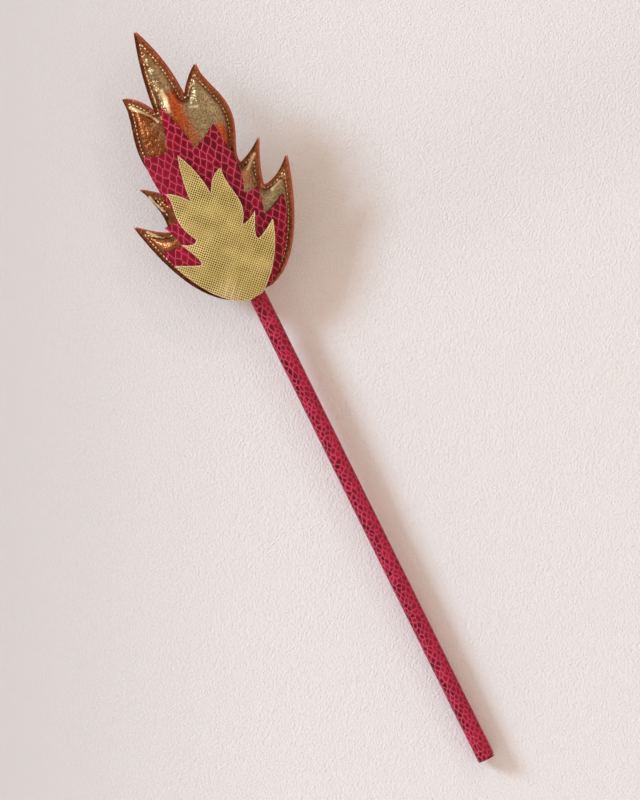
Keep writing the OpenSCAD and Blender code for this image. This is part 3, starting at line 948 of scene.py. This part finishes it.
@dataclass
class StuffedHead:
    """The stuffed flame: two copper panels, puffed by wadding and sewn together near the edge."""

    foil: bpy.types.Material
    cut_edge: bpy.types.Material
    backing: bpy.types.Material
    thread: bpy.types.Material
    cup: PetalCup
    spacing: float = 1.1  # mm, as all sizes here
    leather: float = 0.9
    seam_in: float = 2.4
    seam_gap: float = 0.1
    swell_over: float = 2.5  # inside the seam, where the panel starts to swell
    flare: float = 0.35
    flare_over: float = 1.2
    pitch: float = 2.1
    pucker_h: float = 0.28  # between two stitches
    pucker_w: float = 1.3
    gather_h: float = 0.22
    gather_l: float = 6.3
    gather_in: float = 4.5
    gather_from: float = 2.0
    crown: float = 8.95  # that the wadding's middle stands up at least
    crown_in: float = 3.8
    crown_run: float = 22.0
    crown_top: float = 0.75  # the share of the height that is left near the tips
    thin_from: float = 60.0
    thin_over: float = 60.0
    arch_h: float = 5.55
    arch_w: float = 8.3
    arch_top: float = 40.0
    back_shift: float = 1.0
    back_plump: float = 0.8  # how full the back is against the front
    crest_h: float = 0.4
    dent_h: float = 0.5
    dent_l: float = 11.0
    crumple_h: float = 0.22
    crumple_l: float = 4.6
    crumple_in: float = 3.5
    crumple_over: float = 4.0
    petal_room: float = 0.35
    petal_slope: float = 0.8  # how steeply the panel rises past the red petal's edge
    smooth_in: float = 1.5
    smooth_rounds: int = 6
    stitch_l: float = 1.5
    stitch_lift: float = 0.16
    margin_h: float = 0.3  # that the margin lifts a stitch at most
    thread_d: float = 0.74
    edge: np.ndarray = field(init=False)
    stuffing: Stuffing = field(init=False)

    def __post_init__(self) -> None:
        """Traces the cut edge and stuffs the flame once for both panels."""
        self.edge = FLAME.cut_edge()
        self.stuffing = Stuffing(self.edge, self.seam_in)

    def build(self) -> None:
        """Builds both panels and their stitches."""
        for side in Side:
            self._panel(side)
            self._stitches(side)

    def pillow(self, points: np.ndarray, plump: float = 1.0) -> tuple[np.ndarray, np.ndarray]:
        """Finds how far the wadding pushes a panel from the middle plane.

        Args:
            points: places right of the axis and above the foot, in millimetres.
            plump: the share of the full height that this panel has.

        Returns:
            The heights and the distances to the cut edge, in millimetres.
        """
        gap, run = nearest_on_line(points, self.edge)
        up = points[:, 1]
        top = 1 - (1 - self.crown_top) * np.clip((up - self.thin_from) / self.thin_over, 0, 1)
        from_seam = gap - self.seam_in
        swell = plump * self.stuffing.rise(points) * eased(from_seam / self.swell_over)
        core = self.crown * (1 - (1 - np.clip((gap - self.crown_in) / self.crown_run, 0, 1)) ** 2)
        swell = top * np.maximum(swell, core)
        lips = self.flare * (1 - np.exp(-((from_seam / self.flare_over) ** 2)))
        between = 0.5 - 0.5 * np.cos(2 * np.pi * run / self.pitch)
        pucker = self.pucker_h * between * np.exp(-((from_seam / self.pucker_w) ** 2))
        unevenly = 1.7 * np.sin(run / 8.0)
        gathers = np.sin(2 * np.pi * run / self.gather_l + unevenly)
        gathers *= self.gather_h * np.exp(-np.maximum(from_seam, 0) / self.gather_in) * (from_seam > 0)
        height = np.maximum(swell, lips * (from_seam < 0)) + pucker
        height += gathers * np.clip(from_seam / self.gather_from, 0, 1)
        arch = np.where(
            up < self.arch_top,
            self.arch_h * np.sqrt(np.clip(1 - (points[:, 0] / self.arch_w) ** 2, 0, 1)),
            0,
        )
        return np.maximum(height, arch), gap

    def _panel(self, side: Side) -> None:
        """Builds one panel.

        Args:
            side: which face of the head.
        """
        bm = FLAME.sheet(self.spacing)
        points = sheet_points(bm)
        height, gap = self.pillow(points, 1.0 if side is Side.FRONT else self.back_plump)
        inside = np.clip((gap - self.crumple_in) / self.crumple_over, 0, 1)
        height += self._crumples(points, side) * inside
        beyond, painted_highlight = np.full(len(points), FAR_OFF), np.zeros(len(points))
        if side is Side.FRONT:
            # Each crest is a fold in the panel, with a highlight painted along it.
            for crest in CRESTS:
                reach = nearest_on_line(points, np.array(crest.line))[0]
                ridge = crest.shine * np.exp(-((reach / crest.width) ** 2))
                height += self.crest_h * ridge
                painted_highlight = np.maximum(painted_highlight, ridge)
            petal = RED_FLAME.cut_edge(24)
            beyond = np.where(inside_line(points, petal), 0, nearest_on_line(points, petal)[0])
            room = self.cup.depth(points) - self.leather - self.seam_gap / 2 - self.petal_room
            height = np.minimum(height, room + self.petal_slope * beyond)
        height = np.maximum(height, 0.0)
        bm.verts.ensure_lookup_table()
        for vert, push in zip(bm.verts, height):
            vert.co.y = -(push + self.seam_gap / 2)
        inner = [v for v, d in zip(bm.verts, gap) if d > self.seam_in + self.smooth_in]
        for _ in range(self.smooth_rounds):
            bmesh.ops.smooth_vert(bm, verts=inner, factor=0.5, use_axis_y=True)
        even_tone = 0.3 * points[:, 0] - 1
        marks = {
            "across_mm": points[:, 0] if side is Side.FRONT else even_tone,
            "edge_mm": gap,
            "edge_side": self._edge_side(points),
            "painted_red_reflection": self._painted_red_reflection(points, beyond),
            "painted_highlight": painted_highlight,
        }
        mark(bm, marks)
        if side is Side.BACK:
            bmesh.ops.scale(bm, verts=bm.verts, vec=(1, -1, 1))
            bmesh.ops.reverse_faces(bm, faces=bm.faces)
            bmesh.ops.translate(bm, verts=bm.verts, vec=(self.back_shift, 0, 0))
        lift_to_head(bm)
        node = f"{side.name.lower()}_panel"
        finishes = [self.foil, self.cut_edge, self.backing]
        piece = finish_piece(bm, f"{node}_puffed", finishes, Body.WAND)
        give_thickness(piece, self.leather)
        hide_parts(node, f"{side.name.lower()}_wadding")

    def _edge_side(self, points: np.ndarray) -> np.ndarray:
        """Tells which way the nearest cut edge lies.

        Args:
            points: places right of the axis and above the foot, in millimetres.

        Returns:
            Each point's share, from -1 for left to 1 for right.
        """
        gap, run = nearest_on_line(points, self.edge)
        along = np.concatenate([[0], np.cumsum(np.hypot(*np.diff(self.edge, axis=0).T))])
        return (np.interp(run, along, self.edge[:, 0]) - points[:, 0]) / np.maximum(gap, 0.05)

    @staticmethod
    def _painted_red_reflection(points: np.ndarray, beyond: np.ndarray) -> np.ndarray:
        """Tells how much of the red petal's reflection is painted on the foil: on a fold above it and
        down its right side.

        Args:
            points: places right of the axis and above the foot, in millimetres.
            beyond: their distances from the red petal, in millimetres.

        Returns:
            The shares, from 0 to 1.
        """
        across, up = points.T
        on_fold = 1 - eased((nearest_on_line(points, np.array(PAINTED_RED_REFLECTION_LINE))[0] - 0.3) / 6.6)
        on_fold *= 0.6 + 0.4 * eased((up - 88) / 14)
        flank = (1 - eased((beyond - 2.5) / 4.0)) * eased((across - 17) / 3)
        flank *= 0.4 * eased((up - 50) / 8) + 0.6 * eased((up - 66) / 6)
        flank *= eased((93 - up) / 6)
        return np.where(beyond < FAR_OFF, np.maximum(0.95 * on_fold, 0.95 * flank), 0)

    def _crumples(self, points: np.ndarray, side: Side) -> np.ndarray:
        """Finds the dents and small folds of the leather over its wadding.

        Args:
            points: places right of the axis and above the foot, in millimetres.
            side: which face of the head.

        Returns:
            The heights, in millimetres.
        """
        broad, small = (
            np.array([noise.noise((x / size, side.value * seed, z / size)) for x, z in points])
            for size, seed in ((self.dent_l, 3.0), (self.crumple_l, 5.0))
        )
        return self.dent_h * broad + self.crumple_h * small

    def _stitches(self, side: Side) -> None:
        """Lays the thread of one panel, as a row of single stitches.

        Args:
            side: which face of the head.
        """
        places = self._stitch_places()
        height, _ = self.pillow(np.array([p for p, _ in places]))
        bm = bmesh.new()
        for (spot, way), push in zip(places, height):
            depth = min(push, self.margin_h) + self.seam_gap / 2 + self.leather + self.stitch_lift
            x_axis = Vector((way[0], 0, way[1]))
            y_axis = Vector((0, side.value, 0))
            turn = Matrix((x_axis, y_axis, x_axis.cross(y_axis))).transposed().to_4x4()
            shift = self.back_shift if side is Side.BACK else 0.0
            spot_3d = Vector((spot[0] + shift, side.value * depth, spot[1]))
            size = Matrix.Diagonal((self.stitch_l / 2, self.thread_d / 2, self.thread_d / 2, 1))
            set_in = Matrix.Translation(spot_3d) @ turn @ size
            bmesh.ops.create_uvsphere(bm, u_segments=8, v_segments=6, radius=1.0, matrix=set_in)
        bmesh.ops.recalc_face_normals(bm, faces=bm.faces)
        lift_to_head(bm)
        node = f"{side.name.lower()}_stitches"
        piece = finish_piece(bm, f"{node}_thread", [self.thread], Body.WAND)
        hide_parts(node)

    def _stitch_places(self) -> list[tuple[np.ndarray, np.ndarray]]:
        """Walks the seam line.

        Returns:
            Each stitch's middle, in millimetres, and its direction.
        """
        step = np.gradient(self.edge, axis=0)
        step /= np.hypot(*step.T)[:, None]
        seam = self.edge + self.seam_in * np.stack([step[:, 1], -step[:, 0]], axis=1)
        gap, _ = nearest_on_line(seam, self.edge)
        seam = seam[gap > self.seam_in * 0.97]
        hops = np.hypot(*np.diff(seam, axis=0).T)
        run = np.concatenate([[0], np.cumsum(hops)])
        count = int(run[-1] / self.pitch)
        middles = (np.arange(count) + 0.5) * self.pitch
        behind, spots, ahead = (
            np.stack([np.interp(middles + hop, run, seam[:, k]) for k in (0, 1)], axis=1)
            for hop in (-0.5, 0.0, 0.5)
        )
        ways = ahead - behind
        ways /= np.hypot(*ways.T)[:, None]
        return list(zip(spots, ways))


def lift_to_head(bm: bmesh.types.BMesh) -> None:
    """Turns a shape drawn in millimetres from the flame's foot into metres in the shared frame."""
    bmesh.ops.translate(bm, verts=bm.verts, vec=(0, 0, HEAD_FOOT))
    bmesh.ops.scale(bm, verts=bm.verts, vec=(MM, MM, MM))


@dataclass
class PetalLayer:
    """One loose leather layer in front of the head, cupped round it and held at its foot."""

    name: str
    outline: FlameOutline
    cup: PetalCup
    face: bpy.types.Material
    cut_edge: bpy.types.Material
    backing: bpy.types.Material
    body: Body
    slot: Slot
    step: float = 0.0  # mm in front of the cup
    leather: float = 0.9  # mm
    spacing: float = 1.1  # mm
    wave: float = 0.25  # mm
    wave_l: float = 13.0  # mm
    pucker_at: Point | None = None
    pucker: float = 0.45  # mm
    pucker_l: float = 3.4  # mm from fold to fold
    pucker_way: Point = (0.75, -0.66)
    pucker_area: float = 30.0  # square mm
    pucker_highlight: float = 0.75
    seed: float = 0.0

    def build(self) -> bpy.types.Object:
        """Returns:
            The new piece.
        """
        bm = self.outline.sheet(self.spacing)
        points = sheet_points(bm)
        depth = self.cup.depth(points) + self.step
        ripple = [noise.noise((x / self.wave_l + self.seed, 0.0, z / self.wave_l)) for x, z in points]
        depth += self.wave * np.abs(np.array(ripple))
        marks = {
            "edge_mm": nearest_on_line(points, self.outline.cut_edge(24))[0],
            "painted_highlight": np.zeros(len(points)),
        }
        if self.pucker_at:
            way = points - np.array(self.pucker_at)
            folds = np.sin(2 * np.pi * (way @ np.array(self.pucker_way)) / self.pucker_l)
            near = np.exp(-((way**2).sum(axis=1)) / self.pucker_area)
            depth += self.pucker * (folds + 0.6) * near
            # A highlight is painted on the pucker's folds.
            marks["painted_highlight"] = self.pucker_highlight * eased(folds) * near
        bm.verts.ensure_lookup_table()
        for vert, d in zip(bm.verts, depth):
            vert.co.y = -d
        mark(bm, marks)
        area = sum(f.calc_area() for f in bm.faces) * MM**2
        lift_to_head(bm)
        finishes = [self.face, self.cut_edge, self.backing]
        piece = finish_piece(bm, f"{self.name}_leather", finishes, self.body)
        give_thickness(piece, self.leather)
        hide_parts(self.name)
        return piece


@dataclass
class WrappedStick:
    """The stick: a dowel in a leather wrap, lapped at its front right and closed by an end patch."""

    leather: bpy.types.Material
    cut_edge: bpy.types.Material
    wood: bpy.types.Material
    radius: float = 4.75  # mm, as all sizes here
    skin: float = 0.75
    low: float = -60.0
    high: float = 219.0
    lap_turn: float = 60.0  # degrees from the front towards the right
    lap_over: float = 1.012  # turns that the wrap makes
    lap_rise: float = 0.4
    lap_share: float = 0.09
    softness: float = 0.06
    tuck: float = 0.15  # that it is drawn in where it enters the head
    tuck_below: float = 1.5
    nick: float = 1.1  # that the lower end is cut shorter at the right
    nick_h: float = 7.0
    around: int = 72
    along: int = 150
    end_insets: tuple[float, ...] = (0.45, 0.6, 0.9, 1.1)
    end_skin: float = 0.5
    dome: float = 0.75
    pleats: int = 7
    pleat_h: float = 0.12

    def build(self) -> None:
        """Builds the wrap and its folded end, and dresses the dowel inside."""
        self._wrap()
        self._end()
        dress_node("dowel_core", self.wood)

    def _wrap(self) -> None:
        """Builds the wrap as one sheet rolled round the stick."""
        bm = bmesh.new()
        bmesh.ops.create_grid(bm, x_segments=self.around, y_segments=self.along, size=1.0)
        wide, tall = 2 * math.pi * self.radius, self.high - self.low
        bmesh.ops.translate(bm, verts=bm.verts, vec=(1, 1, 0))
        bmesh.ops.scale(bm, verts=bm.verts, vec=(wide / 2, tall / 2, 1))
        lay_flat(bm, lambda vert: vert.co.xy)
        for vert in bm.verts:
            u, v = vert.co.xy
            share = u / wide
            turn = math.radians(self.lap_turn) - 2 * math.pi * share * self.lap_over
            lap = self.lap_rise * max(0.0, 1 - share / self.lap_share) ** 2
            soft = self.softness * noise.noise((u / 5, 0.0, v / 9))
            tucked = self.tuck * min(1.0, max(0.0, v + self.low - HEAD_FOOT + self.tuck_below))
            out = self.radius - self.skin + lap + soft - tucked
            to_right = float(eased(np.array(math.sin(turn) * 2)))
            nick = self.nick * to_right * max(0.0, 1 - v / self.nick_h)
            vert.co = (out * math.sin(turn), -out * math.cos(turn), v + self.low + nick)
        bmesh.ops.scale(bm, verts=bm.verts, vec=(MM, MM, MM))
        bmesh.ops.recalc_face_normals(bm, faces=bm.faces)
        area = sum(f.calc_area() for f in bm.faces)
        finishes = [self.leather, self.cut_edge, self.cut_edge]
        piece = finish_piece(bm, "stick_sleeve_wrap", finishes, Body.WAND)
        give_thickness(piece, self.skin)
        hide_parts("stick_sleeve")

    def _end(self) -> None:
        """Builds the patch that closes the lower end, gathered into a few pleats."""
        bm = bmesh.new()
        bmesh.ops.create_circle(bm, cap_ends=True, cap_tris=False, segments=40, radius=self.radius - 0.1)
        bm.faces.ensure_lookup_table()
        middle = bm.faces[0]
        for width in self.end_insets:
            bmesh.ops.inset_region(bm, faces=[middle], thickness=width, use_even_offset=True)
        lay_flat(bm, lambda vert: vert.co.xy)
        for vert in bm.verts:
            reach = math.hypot(vert.co.x, vert.co.y) / self.radius
            waves = math.sin(self.pleats * math.atan2(vert.co.y, vert.co.x))
            pleat = self.pleat_h * waves * reach * (1 - reach) * 4
            dome = self.dome * math.sqrt(max(0.0, 1 - reach**2))
            vert.co.z = self.low + 0.15 - dome - pleat
        bmesh.ops.recalc_face_normals(bm, faces=bm.faces)
        down = sum((f.normal.z for f in bm.faces), 0.0)
        if down > 0:
            bmesh.ops.reverse_faces(bm, faces=bm.faces)
        bmesh.ops.scale(bm, verts=bm.verts, vec=(MM, MM, MM))
        piece = finish_piece(bm, "end_patch_fold", [self.leather, self.cut_edge], Body.WAND)
        smooth = piece.modifiers.new("smooth", "SUBSURF")
        smooth.levels = smooth.render_levels = 1
        wall = piece.modifiers.new("leather", "SOLIDIFY")
        wall.thickness = self.end_skin * MM
        wall.offset = -1.0
        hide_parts("end_patch")


def dress_node(node: str, finish: bpy.types.Material) -> None:
    """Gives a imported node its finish.

    Args:
        node: the node's name.
        finish: the material.
    """
    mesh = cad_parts[node].data
    mesh.materials.clear()
    mesh.materials.append(finish)
    LOG.info("%s: packed solid, dressed in %s", node, finish.name)


@dataclass
class Studio:
    """A pale plaster wall with a floor, soft light from the left, and the photograph's camera."""

    plaster: bpy.types.Material
    roll: float = 26.31  # degrees that the wand leans left in the picture
    centre: tuple[float, float, float] = (5.1, 0.0, 149.7)  # mm, in the middle of the picture
    seen_height: float = 424.0  # mm
    distance: float = 2000.0  # mm
    sensor: float = 36.0  # mm
    wall_gap: float = 5.6  # mm behind the stick's axis at its end
    wall_lean: float = 0.0235
    wall_lean_h: float = 310.0  # mm
    wall_step: float = 15.0  # mm that the wall draws back behind the head
    wall_step_from: float = 165.0  # mm
    wall_step_over: float = 120.0  # mm
    wall_turn: float = 0.19  # how much further it draws back to the right there
    wall_w: float = 2500.0  # mm to each side
    wall_h: float = 2400.0  # mm
    low: float = -60.0  # mm, the stick's lower end
    floor: float = -900.0  # mm
    floor_depth: float = 1500.0  # mm
    bend: float = 200.0  # mm from the floor's end to the wall
    bend_h: float = 100.0  # mm
    key_slant: float = 63.0  # degrees from the way to the camera
    room: str = "FFE4D0"
    room_dim: float = 0.32  # the room's strength at the picture's right
    room_bright: float = 1.14  # and at its left

    def build(self) -> None:
        """Builds the wall, the lamps, the world and the camera."""
        self._backdrop()
        self._lamps()
        self._world()
        self._camera()

    def axes(self) -> tuple[Vector, Vector, Vector]:
        """Finds the picture's axes.

        Returns:
            The picture's right, its up and the way to the camera.
        """
        lean = math.radians(self.roll)
        right = Vector((math.cos(lean), 0, -math.sin(lean)))
        up = Vector((math.sin(lean), 0, math.cos(lean)))
        return right, up, Vector((0, -1, 0))

    def wall_at(self, x: float, z: float) -> float:
        """Finds how far the wall lies behind the stick's axis.

        Args:
            x: the place right of the axis, in millimetres.
            z: the height, in millimetres.

        Returns:
            The distance, in millimetres.
        """
        leaning = self.wall_lean * min(max(z - self.low, 0.0), self.wall_lean_h)
        behind_head = float(eased(np.array((z - self.wall_step_from) / self.wall_step_over)))
        step = self.wall_step + self.wall_turn * min(max(x, -60.0), 80.0)
        return self.wall_gap + leaning + behind_head * step

    def _backdrop(self) -> None:
        """Builds the wall and floor as one bent sheet, and lights the wall as if it were flat."""
        bm = bmesh.new()
        bmesh.ops.create_grid(bm, x_segments=60, y_segments=300, size=1.0)
        for vert in bm.verts:
            share = (vert.co.y + 1) / 2
            x = vert.co.x**3 * self.wall_w
            if share < 0.1:
                y, z = -self.floor_depth + share / 0.1 * (self.floor_depth - self.bend), self.floor
            elif share < 0.2:
                turn = (share - 0.1) / 0.1 * math.pi / 2
                y = (self.bend + self.wall_at(x, self.floor)) * math.sin(turn) - self.bend
                z = self.floor + self.bend_h * (1 - math.cos(turn))
            else:
                z = self.floor + self.bend_h + (share - 0.2) / 0.8 * self.wall_h
                y = self.wall_at(x, z)
            vert.co = (x, y, z)
        bmesh.ops.scale(bm, verts=bm.verts, vec=(MM, MM, MM))
        mesh = bpy.data.meshes.new("backdrop")
        bm.to_mesh(mesh)
        bm.free()
        mesh.polygons.foreach_set("use_smooth", [True] * len(mesh.polygons))
        upright = (self.floor + self.bend_h) * MM
        corners = [mesh.vertices[loop.vertex_index] for loop in mesh.loops]
        facing = [(0, -1, 0) if corner.co.z > upright else corner.normal for corner in corners]
        mesh.normals_split_custom_set(facing)
        mesh.materials.append(self.plaster)
        wall = bpy.data.objects.new("backdrop", mesh)
        bpy.context.scene.collection.objects.link(wall)

    def _lamps(self) -> None:
        """Hangs a window-like lamp at the upper left, two weak ones at the right and one behind."""
        right, up, out = self.axes()
        middle = Vector((0, 0, 0.25))
        slant = math.radians(self.key_slant)
        key_way = (-0.92 * right + 0.38 * up) * math.sin(slant) + out * math.cos(slant)
        self._lamp("key", middle + 6.0 * key_way, middle, 1.6, 355.0, "C9E9FF")
        fill_way = (0.55 * right + 0.35 * up + out).normalized()
        self._lamp("fill", middle + 2.6 * fill_way, middle, 1.8, 3.0, "FFFFFF")
        glint_way = Vector((0.72, -0.56, 0.4))
        self._lamp("glint", middle + 3.0 * glint_way, middle, 0.3, 6.0, "FFF4E4")
        self._lamp("behind", Vector((0.8, 2.2, 1.2)), middle, 1.6, 75.0, "FFFFFF")

    @staticmethod
    def _lamp(name: str, place: Vector, target: Vector, size: float, power: float, tint: str) -> None:
        """Hangs one square area lamp.

        Args:
            name: the lamp's name.
            place: where it hangs, in metres.
            target: what it points at, in metres.
            size: its side, in metres.
            power: its power, in watts.
            tint: its sRGB hex colour.
        """
        light = bpy.data.lights.new(name, "AREA")
        light.size = size
        light.energy = power
        light.color = linear(tint)[:3]
        lamp = bpy.data.objects.new(name, light)
        lamp.location = place
        lamp.rotation_mode = "QUATERNION"
        lamp.rotation_quaternion = (target - place).to_track_quat("-Z", "Y")
        lamp.visible_camera = False
        bpy.context.scene.collection.objects.link(lamp)

    def _world(self) -> None:
        """Makes a pale room, brightest at the picture's left, and even where it is seen or mirrored."""
        world = bpy.data.worlds.new("room")
        bpy.context.scene.world = world
        world.use_nodes = True
        world.node_tree.nodes.clear()
        node = partial(add_node, world.node_tree)
        way = node("TexCoord", None, "Generated")
        across = {
            "Value": node("VectorMath", {0: way, 1: PICTURE_RIGHT}, "Value", operation="DOT_PRODUCT"),
            "From Min": 1.0,
            "From Max": -1.0,
            "To Min": self.room_dim,
            "To Max": self.room_bright,
        }
        room = node("Background", {0: self.room, 1: node("MapRange", across)})
        seen = node("Background", {0: PALE_ROOM, 1: 1.0})
        mixed = node("MixShader", {0: seen_or_mirrored(node), 1: room, 2: seen})
        node("OutputWorld", {0: mixed})

    def _camera(self) -> None:
        """Sets up the long lens that looks straight at the flame's front."""
        right, up, out = self.axes()
        data = bpy.data.cameras.new("camera")
        data.sensor_width = self.sensor
        data.lens = self.sensor * self.distance / self.seen_height
        data.clip_end = 50.0
        camera = bpy.data.objects.new("camera", data)
        place = Vector(self.centre) * MM + out * self.distance * MM
        camera.matrix_world = Matrix.Translation(place) @ Matrix((right, up, out)).transposed().to_4x4()
        bpy.context.scene.collection.objects.link(camera)
        bpy.context.scene.camera = camera


def main() -> None:
    """Builds and dresses the wand, then its studio."""
    logging.basicConfig(level=logging.INFO, format="%(message)s")
    bpy.context.scene.view_settings.view_transform = "Standard"
    red_edge = FibrousStuff("cut_edge_of_red_leather", "9C3A48", "5E1420", 0.4).build()
    stick_leather = EmbossedLeather(
        "embossed_red_leather_fine",
        scale_w=3.1,
        scale_l=4.6,
        unevenness=0.65,
        wobble=1.0,
        pad_dark="42000C",
        pad_light="B92744",
        groove="C04A62",
        groove_w=0.075,
        plain_from=7.5,
        plain_to=3.5,
        plain=0.4,
    ).build()
    petal_leather = EmbossedLeather(
        "embossed_red_leather", scale_w=4.4, scale_l=6.8, plain_from=2.0, plain_to=-8.0, plain=0.22
    ).build()
    cup = PetalCup()
    StuffedHead(
        foil=CopperFoilLeather().build(),
        cut_edge=FibrousStuff("cut_edge_of_copper_leather", "B8604A", "7E3A28", 0.4).build(),
        backing=FibrousStuff("coral_knit_backing", "D8765E", "B04E3C", 0.5).build(),
        thread=LustreThread().build(),
        cup=cup,
    ).build()
    red_backing = FibrousStuff("red_knit_backing", "9A2438", "6A1224", 0.5).build()
    PetalLayer(
        "red_petal", RED_FLAME, cup, petal_leather, red_edge, red_backing, Body.RED, Slot.RED, seed=3.1
    ).build()
    PetalLayer(
        "gold_petal",
        GOLD_FLAME,
        cup,
        DottedGoldLeather().build(),
        FibrousStuff("cut_edge_of_gold_leather", "F0E2B8", "C9B47E", 0.4).build(),
        FibrousStuff("cream_knit_backing", "E6DCC0", "C8BA94", 0.5).build(),
        Body.GOLD,
        Slot.GOLD,
        step=2.0,
        wave=0.6,
        pucker_at=(-12.5, 6.5),
        seed=7.7,
    ).build()
    WrappedStick(
        leather=stick_leather,
        cut_edge=red_edge,
        wood=FibrousStuff("sanded_beech", "D2AE7C", "B98E5C", 0.8, stretch=12.0, roughness=0.6).build(),
    ).build()
    red_thread = FibrousStuff("red_polyester_thread", "B02A40", "7A1022", 0.3, roughness=0.5, sheen=0.3)
    tack_thread = red_thread.build()
    for node in ("red_tack", "gold_tack"):
        dress_node(node, tack_thread)
    Studio(PaintedPlaster().build()).build()


if __name__ == "__main__":
    main()
